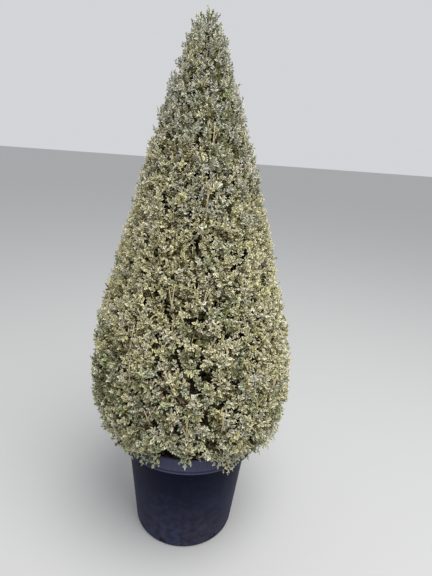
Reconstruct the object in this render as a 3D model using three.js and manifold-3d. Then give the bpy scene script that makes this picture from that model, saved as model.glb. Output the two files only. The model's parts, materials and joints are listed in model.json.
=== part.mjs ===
// A clipped cone of variegated box, growing in a black nursery pot.
// Millimetres, +Z up. The origin is the middle of the pot's flat underside.
// Every mesh is one closed solid, and neighbours keep a small clearance.

import * as THREE from "three";
import { mergeVertices } from "three/addons/utils/BufferGeometryUtils.js";
import Module from "manifold-3d";

const wasm = await Module();
wasm.setup();

// Driving dimensions
const CLEARANCE = 0.3; // between two pieces that meet

const pot = {
  height: 438,
  rimRadius: 261, // outside of the skirt's lower edge
  topRadius: 250, // crest of the rolled rim
  skirtHeight: 48, // how far the rim's skirt hangs down
  beadHeight: 8, // stiffening bead along the skirt's lower edge
  beadStep: 1.5, // how far it stands proud
  roll: 6, // depth of the rolled crest
  edge: 1, // small bevels
  shoulderRadius: 221, // the wall where the rim begins
  baseRadius: 180,
  cornerRadius: 10, // rounding between wall and underside
  wall: 3,
  sides: 60,
  drainCount: 6,
  drainRadius: 13,
  drainTurn: -110, // degrees from +X to the first drain hole
};

const soil = {
  edgeLevel: 390, // at the pot's wall
  middleLevel: 402, // round the stem
  middleRadius: 70,
};

const stem = {
  top: 478,
  topRadius: 21,
  flareRadius: 37, // root flare at the soil
  lean: [7, -4], // how far the top stands from the foot
  lobes: 5, // flutes of an old box stem
  lobeDepth: 0.12,
  sides: 15,
  rings: 5,
};

// The clipped outline as radius and height, from the foot up to the tip
const outline = new THREE.SplineCurve(
  [
    [262, 428],
    [316, 462],
    [338, 600],
    [322, 780],
    [262, 1010],
    [177, 1300],
    [115, 1500],
    [52, 1680],
    [34, 1728],
    [8, 1752],
  ].map(([radius, height]) => new THREE.Vector2(radius, height)),
);

const crown = {
  lean: -12, // how far the tip stands to the left of the pot's middle
  coreFoot: 444, // underside of the dense core, just over the rim
  coreFootRadius: 248,
  coreTop: 1665, // above this the shoots stand free round the leader
  coreInset: 38, // the core lies this far inside the outline
  coreShare: 0.42, // but at most this share of the radius inside it
  coreRows: 17,
  coreSides: 26,
  coreRoughness: 9, // largest dent or bump of the core's surface
  socketRadius: 68, // hollow under the core, round the stem's top
  leaderRadius: 9, // the stem's upper end, which every branch leaves
  leaderTop: 1716,
  branchCount: 112, // spread evenly over the clipped surface
  fringe: { count: 14, from: 436, to: 444 }, // shoots that hang over the rim
  tuft: { count: 5, from: 1692, to: 1736 }, // loose shoots round the tip
  lowestFork: 520, // no branch leaves the leader lower than this
  rise: [0.35, 2.1], // climb of a branch for each step outwards, at foot and tip
  scatter: 16, // random part of where a branch ends
  branchRadius: 6, // at the leader
  tipRadius: 1.5,
  tipDepth: 22, // a branch ends this far inside the outline
  leafPairs: [
    { back: 2, spread: 0.6, length: 60 }, // distance from the tip, angle, leaf length
    { back: 23, spread: 1.1, length: 70 },
  ],
  tuftScale: 0.62, // size of the leaves round the tip
  leafWidth: 0.62, // as a share of the leaf's length
  leafCup: 3, // how far its edges are raised
  leafThickness: 2.6,
  lengthSpread: 0.15, // random part of a leaf's length
  shorter: [1, 0.85, 0.7], // shares of its length that are tried until it fits
  overhang: 11, // how far a leaf may stand out of the clipped outline
  potGap: 4, // kept by every leaf and branch from the pot
  seed: 20,
};

const GOLDEN_ANGLE = Math.PI * (3 - Math.sqrt(5));
const UP = new THREE.Vector3(0, 0, 1);

// Numbers from 0 to 1 that are the same in every run
function seeded(seed) {
  let state = seed >>> 0;
  return () => {
    state = (Math.imul(state, 1664525) + 1013904223) >>> 0;
    return state / 4294967296;
  };
}

// Solids and meshes
function onlyPositions(geometry) {
  const bare = geometry.clone();
  bare.deleteAttribute("normal");
  bare.deleteAttribute("uv");
  return mergeVertices(bare, 1e-3);
}

function solidOf(geometry) {
  const merged = onlyPositions(geometry);
  return new wasm.Manifold(
    new wasm.Mesh({
      numProp: 3,
      vertProperties: new Float32Array(merged.attributes.position.array),
      triVerts: new Uint32Array(merged.index.array),
    }),
  );
}

function geometryOf(solid) {
  const mesh = solid.getMesh();
  const geometry = new THREE.BufferGeometry();
  geometry.setAttribute("position", new THREE.BufferAttribute(mesh.vertProperties, 3));
  geometry.setIndex(new THREE.BufferAttribute(mesh.triVerts, 1));
  geometry.computeVertexNormals();
  return geometry;
}

function meshOf(name, geometry, material) {
  const mesh = new THREE.Mesh(geometry, new THREE.MeshStandardMaterial(material));
  mesh.name = name;
  return mesh;
}

// A profile of [radius, height] pairs turned round the Z axis
function turned(profile, sides) {
  const points = profile.map(([radius, height]) => new THREE.Vector2(radius, height));
  return new THREE.LatheGeometry(points, sides).rotateX(Math.PI / 2);
}

// Rings of corners, each given from foot to tip, closed by a flat cap at both ends
function lofted(rings) {
  const sides = rings[0].length;
  const corners = rings.flat();
  const faces = [];
  for (let ring = 0; ring < rings.length - 1; ring++) {
    for (let side = 0; side < sides; side++) {
      const here = ring * sides + side;
      const beside = ring * sides + ((side + 1) % sides);
      faces.push(here, beside, beside + sides, here, beside + sides, here + sides);
    }
  }
  const last = (rings.length - 1) * sides;
  for (let side = 1; side < sides - 1; side++) {
    faces.push(0, side + 1, side);
    faces.push(last, last + side, last + side + 1);
  }
  const geometry = new THREE.BufferGeometry().setFromPoints(corners);
  geometry.setIndex(faces);
  return geometry;
}

// The pot's outer wall is a straight taper from its corner to the rim's shoulder
const shoulderHeight = pot.height - pot.skirtHeight - pot.beadHeight;

function wallRadiusAt(height) {
  const share = (height - pot.cornerRadius) / (shoulderHeight - pot.cornerRadius);
  return pot.baseRadius + (pot.shoulderRadius - pot.baseRadius) * share;
}

// Points of the quarter round between the underside and the wall
function roundedCorner(radius, size, steps) {
  return Array.from({ length: steps + 1 }, (_, step) => {
    const turn = (step / steps) * (Math.PI / 2);
    return [radius - size + size * Math.sin(turn), size - size * Math.cos(turn)];
  });
}

function makePot() {
  const { wall, roll, edge, beadStep, height, rimRadius, topRadius, shoulderRadius } = pot;
  const skirtFoot = height - pot.skirtHeight;
  const beadTop = skirtFoot + pot.beadHeight;
  const outside = [
    [0, 0],
    ...roundedCorner(pot.baseRadius, pot.cornerRadius, 3),
    [shoulderRadius, shoulderHeight],
    [shoulderRadius + wall, skirtFoot + wall],
    [topRadius - roll, height - roll],
    [topRadius, height - roll],
    [rimRadius - wall - edge, beadTop],
    [rimRadius - wall, skirtFoot],
    [rimRadius, skirtFoot],
    [rimRadius, beadTop - 2 * edge],
    [rimRadius - beadStep, beadTop],
    [topRadius + beadStep, height - roll / 2],
    [topRadius - edge, height],
  ];
  const inside = [
    [topRadius - roll, height - edge / 2],
    [topRadius - 1.5 * roll, height - roll / 2],
    [shoulderRadius, skirtFoot],
    [shoulderRadius - wall, shoulderHeight],
    [wallRadiusAt(pot.cornerRadius) - wall, pot.cornerRadius],
    [pot.baseRadius - pot.cornerRadius, wall],
    [0, wall],
  ];
  let solid = solidOf(turned([...outside, ...inside], pot.sides));
  for (let hole = 0; hole < pot.drainCount; hole++) {
    const drillLength = 4 * pot.cornerRadius;
    const drill = new THREE.CylinderGeometry(pot.drainRadius, pot.drainRadius, drillLength, 12);
    drill.rotateZ(Math.PI / 2); // lies along X
    drill.translate(pot.baseRadius, 0, pot.drainRadius + wall);
    drill.rotateZ(THREE.MathUtils.degToRad(pot.drainTurn + (hole / pot.drainCount) * 360));
    solid = solid.subtract(solidOf(drill));
  }
  return geometryOf(solid);
}

// The bark mix fills the pot's inside and mounds a little towards the stem
function makeSoil() {
  const gap = 1.4 * CLEARANCE; // more across a slope, to keep the clearance square to it
  const innerWall = (height) => wallRadiusAt(height) - pot.wall - gap;
  const profile = [
    [0, pot.wall + gap],
    [pot.baseRadius - pot.cornerRadius - gap, pot.wall + gap],
    [innerWall(pot.cornerRadius), pot.cornerRadius],
    [innerWall(shoulderHeight), shoulderHeight],
    [pot.shoulderRadius - gap, soil.edgeLevel],
    [soil.middleRadius, soil.middleLevel],
    [0, soil.middleLevel],
  ];
  return geometryOf(solidOf(turned(profile, pot.sides)));
}

// The stem is fluted, flares at the soil and leans a little
function makeStem() {
  const foot = soil.middleLevel + CLEARANCE;
  const rings = [];
  for (let ring = 0; ring < stem.rings; ring++) {
    const share = ring / (stem.rings - 1);
    const flare = (1 - share) ** 3;
    const radius = stem.topRadius + (stem.flareRadius - stem.topRadius) * flare;
    const depth = stem.lobeDepth * (0.4 + flare);
    const corners = [];
    for (let side = 0; side < stem.sides; side++) {
      const angle = (side / stem.sides) * 2 * Math.PI;
      const reach = radius * (1 + depth * Math.cos(stem.lobes * angle + share));
      corners.push(
        new THREE.Vector3(
          stem.lean[0] * share + reach * Math.cos(angle),
          stem.lean[1] * share + reach * Math.sin(angle),
          foot + (stem.top - foot) * share,
        ),
      );
    }
    rings.push(corners);
  }
  return geometryOf(solidOf(lofted(rings)));
}

// The outline cut into short steps, with the clipped surface that lies below each
const OUTLINE_STEPS = 240;
const outlineSteps = outline.getPoints(OUTLINE_STEPS);
const surfaceBelow = [0];
for (let step = 1; step <= OUTLINE_STEPS; step++) {
  const [low, high] = [outlineSteps[step - 1], outlineSteps[step]];
  surfaceBelow.push(surfaceBelow[step - 1] + low.distanceTo(high) * (low.x + high.x));
}

// The outline's point with this share of the clipped surface below it
function outlineAt(share) {
  const wanted = share * surfaceBelow[OUTLINE_STEPS];
  const step = Math.max(1, surfaceBelow.findIndex((surface) => surface >= wanted));
  const rest = wanted - surfaceBelow[step - 1];
  const along = rest / (surfaceBelow[step] - surfaceBelow[step - 1]);
  return outlineSteps[step - 1].clone().lerp(outlineSteps[step], along);
}

function outlineRadiusAt(height) {
  const step = outlineSteps.findIndex((point) => point.y >= height);
  if (step === 0) return outlineSteps[0].x;
  if (step < 0) return 0;
  const [low, high] = [outlineSteps[step - 1], outlineSteps[step]];
  return low.x + (high.x - low.x) * ((height - low.y) / (high.y - low.y));
}

// The crown's middle leans evenly from the stem's top to the tip
function middleAt(height) {
  const share = (height - stem.top) / (outlineSteps[OUTLINE_STEPS].y - stem.top);
  return new THREE.Vector3(crown.lean * Math.max(0, share), 0, height);
}

function reachFromMiddle(point) {
  const middle = middleAt(point.z);
  return Math.hypot(point.x - middle.x, point.y - middle.y);
}

// The dense inside of the crown: the outline taken in, with dents and bumps
function makeCore() {
  const random = seeded(crown.seed);
  const foot = stem.top + CLEARANCE;
  const levels = [
    [crown.socketRadius, foot],
    [crown.socketRadius + 30, crown.coreFoot],
    [crown.coreFootRadius, crown.coreFoot],
  ];
  const lowest = foot + 8;
  for (let row = 0; row <= crown.coreRows; row++) {
    const height = lowest + ((crown.coreTop - lowest) * row) / crown.coreRows;
    const radius = outlineRadiusAt(height);
    levels.push([radius - Math.min(crown.coreInset, crown.coreShare * radius), height]);
  }
  levels.at(-1)[0] = crown.leaderRadius;
  const rings = levels.map(([radius, height], level) => {
    const middle = middleAt(height);
    const roughness = level < 2 ? 0 : Math.min(crown.coreRoughness, radius / 4);
    return Array.from({ length: crown.coreSides }, (_, side) => {
      const angle = ((side + (level % 2) / 2) / crown.coreSides) * 2 * Math.PI;
      const reach = radius + (2 * random() - 1) * roughness;
      return new THREE.Vector3(reach * Math.cos(angle), reach * Math.sin(angle), 0).add(middle);
    });
  });
  return solidOf(lofted(rings));
}

// A three-sided tapering limb
function limb(root, tip, rootRadius, tipRadius) {
  const along = tip.clone().sub(root).normalize();
  const across = new THREE.Vector3().crossVectors(along, UP);
  if (across.length() < 0.1) across.set(1, 0, 0);
  across.normalize();
  const third = new THREE.Vector3().crossVectors(along, across);
  const ring = (centre, radius) =>
    [0, 1, 2].map((corner) => {
      const angle = (corner / 3) * 2 * Math.PI;
      const sideways = across.clone().multiplyScalar(radius * Math.cos(angle));
      return sideways.addScaledVector(third, radius * Math.sin(angle)).add(centre);
    });
  return solidOf(lofted([ring(root, rootRadius), ring(tip, tipRadius)]));
}

// A cupped leaf: a pointed outline with raised edges and a keel underneath
function makeLeaf(root, direction, facing, length) {
  const side = new THREE.Vector3().crossVectors(direction, facing).normalize();
  const normal = new THREE.Vector3().crossVectors(side, direction).normalize();
  const halfWidth = (crown.leafWidth * length) / 2;
  const middle = root.clone().addScaledVector(direction, 0.55 * length);
  const edge = middle.clone().addScaledVector(normal, crown.leafCup);
  const corners = [
    root,
    root.clone().addScaledVector(direction, length),
    edge.clone().addScaledVector(side, -halfWidth),
    edge.clone().addScaledVector(side, halfWidth),
    middle.clone().addScaledVector(normal, crown.leafThickness),
  ];
  const geometry = new THREE.BufferGeometry().setFromPoints(corners);
  geometry.setIndex([0, 3, 4, 3, 1, 4, 1, 2, 4, 2, 0, 4, 0, 2, 1, 0, 1, 3]);
  return { geometry, corners };
}

function clearsPot(point) {
  const reach = Math.hypot(point.x, point.y);
  return point.z > pot.height + crown.potGap || reach > pot.rimRadius + crown.potGap;
}

// True where a leaf stays in the crown's space and off the pot, at and between its corners
function leafFits(corners) {
  return corners.every((corner, index) => {
    const halfway = corner.clone().lerp(corners[(index + 1) % corners.length], 0.5);
    const withinOutline = reachFromMiddle(corner) < outlineRadiusAt(corner.z) + crown.overhang;
    return withinOutline && clearsPot(corner) && clearsPot(halfway);
  });
}

// Where the branches end: evenly over the clipped surface, with a fringe of hanging shoots
// above the pot's rim and a loose tuft round the tip
function branchEnds() {
  const { branchCount, fringe, tuft } = crown;
  const ends = Array.from({ length: branchCount }, (_, branch) => ({
    point: outlineAt((branch + 0.5) / branchCount),
    scale: 1,
  }));
  for (const [row, scale] of [
    [fringe, 1],
    [tuft, crown.tuftScale],
  ]) {
    for (let shoot = 0; shoot < row.count; shoot++) {
      const height = row.from + ((row.to - row.from) * shoot) / (row.count - 1);
      ends.push({ point: new THREE.Vector2(outlineRadiusAt(height), height), scale });
    }
  }
  return ends;
}

// Every branch leaves the leader a golden angle on from the last and rises outwards
function branchLines(random) {
  const [footRise, tipRise] = crown.rise;
  return branchEnds().map(({ point, scale }, branch) => {
    const azimuth = branch * GOLDEN_ANGLE;
    const share = point.y / outlineSteps[OUTLINE_STEPS].y;
    const rise = footRise + (tipRise - footRise) * share ** 3;
    const root = middleAt(Math.max(crown.lowestFork, point.y - rise * point.x));
    const tip = middleAt(point.y);
    tip.x += point.x * Math.cos(azimuth) + (random() - 0.5) * crown.scatter * scale;
    tip.y += point.x * Math.sin(azimuth) + (random() - 0.5) * crown.scatter * scale;
    const direction = tip.clone().sub(root).normalize();
    tip.addScaledVector(direction, -crown.tipDepth * scale);
    return { root, tip, direction, scale, radius: crown.branchRadius * scale };
  });
}

// Opposite pairs of leaves near a branch's tip, each pair turned a quarter from the last
function leavesOf({ tip, direction, scale }, random) {
  const leaves = [];
  const across = new THREE.Vector3().crossVectors(direction, UP).normalize();
  const turn = random() * Math.PI;
  crown.leafPairs.forEach(({ back, spread, length }, pair) => {
    const joint = tip.clone().addScaledVector(direction, -back * scale);
    for (const half of [0, 1]) {
      const angle = turn + (pair * Math.PI) / 2 + half * Math.PI;
      const sideways = across.clone().applyAxisAngle(direction, angle);
      const outward = direction.clone().multiplyScalar(Math.cos(spread));
      outward.addScaledVector(sideways, Math.sin(spread));
      const size = scale * length * (1 + (random() - 0.5) * crown.lengthSpread);
      const leaf = crown.shorter
        .map((share) => makeLeaf(joint, outward, direction, share * size))
        .find(({ corners }) => leafFits(corners));
      if (leaf) leaves.push(solidOf(leaf.geometry));
    }
  });
  return leaves;
}

// One mass: the core, the leader, its branches and their leaves fused into one solid
function makeFoliage() {
  const random = seeded(crown.seed + 1);
  const leader = { root: middleAt(crown.lowestFork), tip: middleAt(crown.leaderTop) };
  leader.direction = leader.tip.clone().sub(leader.root).normalize();
  leader.scale = crown.tuftScale;
  leader.radius = crown.leaderRadius;
  let solid = makeCore();
  for (const line of [leader, ...branchLines(random)]) {
    if (!clearsPot(line.tip)) continue;
    solid = solid.add(limb(line.root, line.tip, line.radius, crown.tipRadius));
    for (const leaf of leavesOf(line, random)) solid = solid.add(leaf);
  }
  return geometryOf(solid);
}

const plant = new THREE.Group();
plant.add(
  meshOf("nursery_pot", makePot(), { color: 0x24262e, roughness: 0.55, metalness: 0 }),
  meshOf("potting_mix", makeSoil(), { color: 0x4a3427, roughness: 0.95, metalness: 0 }),
  meshOf("short_stem", makeStem(), { color: 0x8a7a62, roughness: 0.85, metalness: 0 }),
  meshOf("cone_foliage", makeFoliage(), { color: 0xa6a678, roughness: 0.6, metalness: 0 }),
);

export default plant;
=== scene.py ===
# A clipped cone of variegated box, growing in a black nursery pot, on a plain studio floor.
# Metres, +Z up, the origin is the middle of the pot's flat underside.

import json
import math

import bmesh
import bpy
import numpy as np
from mathutils import Matrix, Vector

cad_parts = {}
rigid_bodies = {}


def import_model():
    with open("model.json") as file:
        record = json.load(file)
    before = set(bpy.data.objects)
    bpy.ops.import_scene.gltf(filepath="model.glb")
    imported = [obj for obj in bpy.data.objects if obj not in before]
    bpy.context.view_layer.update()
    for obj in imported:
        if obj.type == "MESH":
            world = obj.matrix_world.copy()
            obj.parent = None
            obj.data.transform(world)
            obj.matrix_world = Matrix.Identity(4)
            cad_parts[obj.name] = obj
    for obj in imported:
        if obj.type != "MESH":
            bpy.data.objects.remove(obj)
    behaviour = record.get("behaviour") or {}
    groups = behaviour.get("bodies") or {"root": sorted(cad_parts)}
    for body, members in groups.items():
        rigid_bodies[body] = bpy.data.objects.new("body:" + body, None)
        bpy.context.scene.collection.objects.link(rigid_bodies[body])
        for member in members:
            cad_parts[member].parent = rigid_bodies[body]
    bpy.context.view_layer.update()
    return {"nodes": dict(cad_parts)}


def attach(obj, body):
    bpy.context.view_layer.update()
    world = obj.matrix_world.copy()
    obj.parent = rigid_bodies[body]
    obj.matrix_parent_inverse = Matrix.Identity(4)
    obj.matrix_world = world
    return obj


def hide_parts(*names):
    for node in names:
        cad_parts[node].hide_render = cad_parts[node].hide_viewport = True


for leftover in list(bpy.data.objects):
    bpy.data.objects.remove(leftover)
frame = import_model()
print("frame loaded")

goldenAngle = math.pi * (3 - math.sqrt(5))


# Camera, floor and light

view = {
    "place": (0.065, -1.408, 1.402),
    "pitchDown": 18.41,  # degrees
    "roll": 4.14,
    "lens": 27.81,
    "sensor": 36,
    "farthest": 100,
}


def makeCamera():
    pitch, roll = math.radians(view["pitchDown"]), math.radians(view["roll"])
    forward = Vector((0, math.cos(pitch), -math.sin(pitch)))
    level = Vector((1, 0, 0))
    upward = level.cross(forward)
    right = math.cos(roll) * level + math.sin(roll) * upward
    above = -math.sin(roll) * level + math.cos(roll) * upward
    camera = bpy.data.objects.new("camera", bpy.data.cameras.new("camera"))
    camera.data.lens = view["lens"]
    camera.data.sensor_width = view["sensor"]
    camera.data.clip_end = view["farthest"]
    turn = Matrix((right, above, -forward)).transposed().to_4x4()
    camera.matrix_world = Matrix.Translation(view["place"]) @ turn
    bpy.context.scene.collection.objects.link(camera)
    bpy.context.scene.camera = camera


makeCamera()


# Node trees are written as expressions: a Wire is an output that does arithmetic


class Wire:
    def __init__(self, graph, socket):
        self.graph, self.socket = graph, socket

    def other(self, name):  # another output of the same node
        return Wire(self.graph, self.socket.node.outputs[name])

    def joined(self, operation, first, second):
        return self.graph.add("ShaderNodeMath", {"operation": operation}, {0: first, 1: second})

    def __add__(self, other):
        return self.joined("ADD", self, other)

    def __radd__(self, other):
        return self.joined("ADD", other, self)

    def __sub__(self, other):
        return self.joined("SUBTRACT", self, other)

    def __rsub__(self, other):
        return self.joined("SUBTRACT", other, self)

    def __mul__(self, other):
        return self.joined("MULTIPLY", self, other)

    def __rmul__(self, other):
        return self.joined("MULTIPLY", other, self)


class Graph:
    def __init__(self, tree):
        self.tree = tree

    def add(self, kind, settings=None, sockets=None, output=0):
        node = self.tree.nodes.new(kind)
        for name, value in (settings or {}).items():
            setattr(node, name, value)
        for key, value in (sockets or {}).items():
            self.feed(self.input(node, key), value)
        return Wire(self, node.outputs[output])

    def input(self, node, key):  # by its number, identifier or name
        if isinstance(key, int):
            return node.inputs[key]
        for socket in node.inputs:
            if socket.identifier == key:
                return socket
        return node.inputs[key]

    def feed(self, socket, value):
        if isinstance(value, Wire):
            self.tree.links.new(value.socket, socket)
        elif isinstance(value, tuple) and socket.type == "RGBA" and len(value) == 3:
            socket.default_value = (*value, 1)
        else:
            socket.default_value = value

    def mix(self, share, first, second):
        sockets = {"Factor_Float": share, "A_Color": first, "B_Color": second}
        return self.add("ShaderNodeMix", {"data_type": "RGBA"}, sockets, output=2)

    def noise(self, coordinates, scale, detail=3.0, roughness=0.5):
        sockets = {"Vector": coordinates, "Scale": scale, "Detail": detail, "Roughness": roughness}
        return self.add("ShaderNodeTexNoise", {}, sockets)

    def spread(self, value, low, high):  # smooth step from 0 at low to 1 at high
        sockets = {"Value": value, "From Min": low, "From Max": high}
        return self.add("ShaderNodeMapRange", {"interpolation_type": "SMOOTHSTEP"}, sockets)

    def stripe(self, value, rise, fall):  # 1 between two smooth steps
        return self.spread(value, *rise) * (1 - self.spread(value, *fall))

    def stretched(self, coordinates, along):  # a pattern drawn out, or pressed together, along Z
        sockets = {0: coordinates, 1: (1.0, 1.0, along)}
        return self.add("ShaderNodeVectorMath", {"operation": "MULTIPLY"}, sockets)

    def attribute(self, name, kind):
        return self.add("GeometryNodeInputNamedAttribute", {"data_type": kind}, {"Name": name})

    def instanced(self, points, template, turn, scale):
        template = self.add("GeometryNodeObjectInfo", {}, {"Object": template}, "Geometry")
        sockets = {"Points": points, "Instance": template, "Rotation": turn, "Scale": scale}
        copies = self.add("GeometryNodeInstanceOnPoints", {}, sockets)
        return self.add("GeometryNodeRealizeInstances", {}, {"Geometry": copies})

    def finished(self, geometry, code, materials):  # each face gets the material that its code names
        equal = {"data_type": "INT", "operation": "EQUAL"}
        for index, material in enumerate(materials):
            chosen = self.add("FunctionNodeCompare", equal, {"A_INT": code, "B_INT": index})
            sockets = {"Geometry": geometry, "Selection": chosen, "Material": material}
            geometry = self.add("GeometryNodeSetMaterial", {}, sockets)
        self.tree.links.new(geometry.socket, self.tree.nodes.new("NodeGroupOutput").inputs["Geometry"])
        return self.tree


def linear(red, green, blue):  # a colour as seen on a screen, 0 to 255, as light
    return tuple(
        share / 12.92 if share <= 0.04045 else ((share + 0.055) / 1.055) ** 2.4
        for share in (red / 255, green / 255, blue / 255)
    )


def newMaterial(name, roughness, colour=(0.5, 0.5, 0.5), **constants):
    material = bpy.data.materials.new(name)
    material.use_nodes = True
    material.diffuse_color = (*colour, 1)
    shader = material.node_tree.nodes["Principled BSDF"]
    shader.inputs["Base Color"].default_value = (*colour, 1)
    shader.inputs["Roughness"].default_value = roughness
    for socket, value in constants.items():
        shader.inputs[socket].default_value = value
    return material, Graph(material.node_tree), shader


def plainMaterial(name, roughness, colour, **constants):
    return newMaterial(name, roughness, linear(*colour), **constants)[0]


def objectPlace(graph):
    return graph.add("ShaderNodeTexCoord", output="Object")


def finishSurface(graph, shader, colour, roughness, relief, depth, strength):
    bump = graph.add("ShaderNodeBump", {}, {"Strength": strength, "Distance": depth, "Height": relief})
    for socket, value in (("Base Color", colour), ("Roughness", roughness), ("Normal", bump)):
        graph.feed(shader.inputs[socket], value)


def addObject(name, mesh):
    piece = bpy.data.objects.new(name, mesh)
    bpy.context.scene.collection.objects.link(piece)
    return piece


def newTree(name, inputs):
    tree = bpy.data.node_groups.new(name, "GeometryNodeTree")
    tree.interface.new_socket("Geometry", in_out="INPUT", socket_type="NodeSocketGeometry")
    for label, kind in inputs.items():
        tree.interface.new_socket(label, in_out="INPUT", socket_type="NodeSocket" + kind)
    tree.interface.new_socket("Geometry", in_out="OUTPUT", socket_type="NodeSocketGeometry")
    graph = Graph(tree)
    return graph, graph.add("NodeGroupInput")


def grown(name, mesh, tree, values):  # a tree's result as a plain mesh of its own
    seed = addObject(name, mesh)
    modifier = seed.modifiers.new("nodes", "NODES")
    modifier.node_group = tree
    for item in tree.interface.items_tree:
        if item.in_out == "INPUT" and item.name in values:
            modifier[item.identifier] = values[item.name]
    graph = bpy.context.evaluated_depsgraph_get()
    result = bpy.data.meshes.new_from_object(seed.evaluated_get(graph))
    seed.modifiers.remove(modifier)
    result.name = name
    for label in [a.name for a in result.attributes if not a.is_internal and not a.is_required]:
        if label not in ("sharp_face", "material_index"):
            result.attributes.remove(result.attributes[label])
    seed.data = result
    bpy.data.meshes.remove(mesh)
    return seed


def pointMesh(name, points, edges=(), **attributes):
    mesh = bpy.data.meshes.new(name)
    mesh.vertices.add(len(points))
    mesh.vertices.foreach_set("co", points.astype(np.float32).ravel())
    if len(edges):
        mesh.edges.add(len(edges))
        mesh.edges.foreach_set("vertices", edges.astype(np.int32).ravel())
    for label, values in attributes.items():
        kind, key, number = "FLOAT", "value", np.float32
        if values.ndim == 2:
            kind, key = "FLOAT_VECTOR", "vector"
        elif values.dtype.kind == "i":
            kind, number = "INT", np.int32
        layer = mesh.attributes.new(label, kind, "POINT")
        layer.data.foreach_set(key, values.astype(number).ravel())
    mesh.update()
    return mesh


def ringCorners(radius, height, sides):
    angles = [2 * math.pi * side / sides for side in range(sides)]
    return [(radius * math.cos(angle), radius * math.sin(angle), height) for angle in angles]


def ringFaces(rings, sides):  # quads between rings of corners that are numbered one ring after another
    faces = []
    for start in range(0, (rings - 1) * sides, sides):
        for side in range(sides):
            here, beside = start + side, start + (side + 1) % sides
            faces.append((here, beside, beside + sides, here + sides))
    return faces


studio = {
    "floorSize": 60,
    "floorDrop": 0.0006,
    "floorColour": (0.56, 0.558, 0.55),
    "floorRoughness": 0.9,
    "skyColour": (0.95, 0.965, 1.0),
    "skyStrength": 0.685,
    "softboxPlace": (0.95, -1.5, 4.5),
    "softboxAim": (0, 0, 0.8),
    "softboxSize": 3.2,
    "softboxPower": 185,
}


def makeStudio():
    mesh = bpy.data.meshes.new("floor")
    half = studio["floorSize"] / 2
    signs = ((-1, -1), (1, -1), (1, 1), (-1, 1))
    corners = [(across * half, deep * half, -studio["floorDrop"]) for across, deep in signs]
    mesh.from_pydata(corners, [], [(0, 1, 2, 3)])
    mesh.materials.append(newMaterial("paleFloor", studio["floorRoughness"], studio["floorColour"])[0])
    addObject("floor", mesh)
    world = bpy.data.worlds.new("studio")
    world.use_nodes = True
    sky = world.node_tree.nodes["Background"].inputs
    sky["Color"].default_value = (*studio["skyColour"], 1)
    sky["Strength"].default_value = studio["skyStrength"]
    bpy.context.scene.world = world
    bpy.context.scene.view_settings.view_transform = "Standard"
    lamp = bpy.data.lights.new("softbox", "AREA")
    lamp.shape, lamp.size, lamp.energy = "DISK", studio["softboxSize"], studio["softboxPower"]
    softbox = addObject("softbox", lamp)
    aim = Vector(studio["softboxAim"]) - Vector(studio["softboxPlace"])
    softbox.location = studio["softboxPlace"]
    softbox.rotation_euler = aim.to_track_quat("-Z", "Y").to_euler()


makeStudio()
print("camera, floor and light made")


# The clipped outline and the branches, by the rule that the part was built with

crown = {
    # radius and height in millimetres
    "outline": [
        (262, 428), (316, 462), (338, 600), (322, 780), (262, 1010),
        (177, 1300), (115, 1500), (52, 1680), (34, 1728), (8, 1752),
    ],
    "steps": 240,
    "lowest": 0.43,
    "steepest": 1.5,
    "stemTop": 0.478,
    "stemLean": (0.007, -0.004),
    "lean": -0.012,
    "branchCount": 112,
    "fringe": (14, 436, 444, 1),  # count, lowest and highest in millimetres, and scale
    "tuft": (5, 1692, 1736, 0.62),
    "lowestFork": 0.520,
    "lowestBough": 0.466,  # the lowest ones level out over the rim
    "rise": (0.35, 2.1),
    "scatter": 0.016,
    "tipDepth": 0.022,
    "seed": 21,
    "sag": 0.05,
    "crook": 0.048,
    "boughThickness": ((0.45, 1.2, 1.75), (0.0072, 0.0055, 0.0022)),  # heights, and the value at each
    "boughEnd": 0.0018,
    "joinBehind": (0.05, 0.12),  # where a spray's twig leaves its branch, behind the branch's tip
    "joinRange": (0.3, 0.95),  # and within this share of it
    "leader": (0.468, 1.728),
    "leaderPoints": 14,
    "leaderThickness": (0.0195, 0.0022),
}


def seeded(state):
    while True:
        state = (state * 1664525 + 1013904223) & 0xFFFFFFFF
        yield state / 4294967296


def outlineSteps():
    points = np.array(crown["outline"], dtype=float) / 1000
    last = len(points) - 1
    place = last * np.arange(crown["steps"] + 1) / crown["steps"]
    start = np.minimum(place.astype(int), last - 1)
    w = (place - start)[:, None]
    before, here = points[np.maximum(start - 1, 0)], points[start]
    ahead, beyond = points[start + 1], points[np.minimum(start + 2, last)]
    slopeHere, slopeAhead = (ahead - before) / 2, (beyond - here) / 2
    return (
        (2 * here - 2 * ahead + slopeHere + slopeAhead) * w**3
        + (-3 * here + 3 * ahead - 2 * slopeHere - slopeAhead) * w**2
        + slopeHere * w
        + here
    )


outline = outlineSteps()
tipHeight = outline[-1, 1]
stepLengths = np.linalg.norm(np.diff(outline, axis=0), axis=1)
surfaceBelow = np.concatenate([[0], np.cumsum(stepLengths * (outline[:-1, 0] + outline[1:, 0]))])


def outlineAt(share):  # radius and height with this share of the clipped surface below
    wanted = share * surfaceBelow[-1]
    return np.interp(wanted, surfaceBelow, outline[:, 0]), np.interp(wanted, surfaceBelow, outline[:, 1])


def outlineRadius(height):
    return np.interp(height, outline[:, 1], outline[:, 0], right=0)


def byHeight(height, rows):  # rows: heights, and the value at each
    return np.interp(height, *rows)


def ramp(height, start, span):  # 0 at the start, 1 when the span is over
    return np.clip((height - start) / span, 0, 1)


def middleAt(height):
    height = np.asarray(height, dtype=float)
    share = np.maximum(0, (height - crown["stemTop"]) / (tipHeight - crown["stemTop"]))
    return np.stack([crown["lean"] * share, np.zeros_like(height), height], axis=-1)


def fromMiddle(points):
    middle = middleAt(points[..., 2])
    return points[..., 0] - middle[..., 0], points[..., 1] - middle[..., 1]


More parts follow.
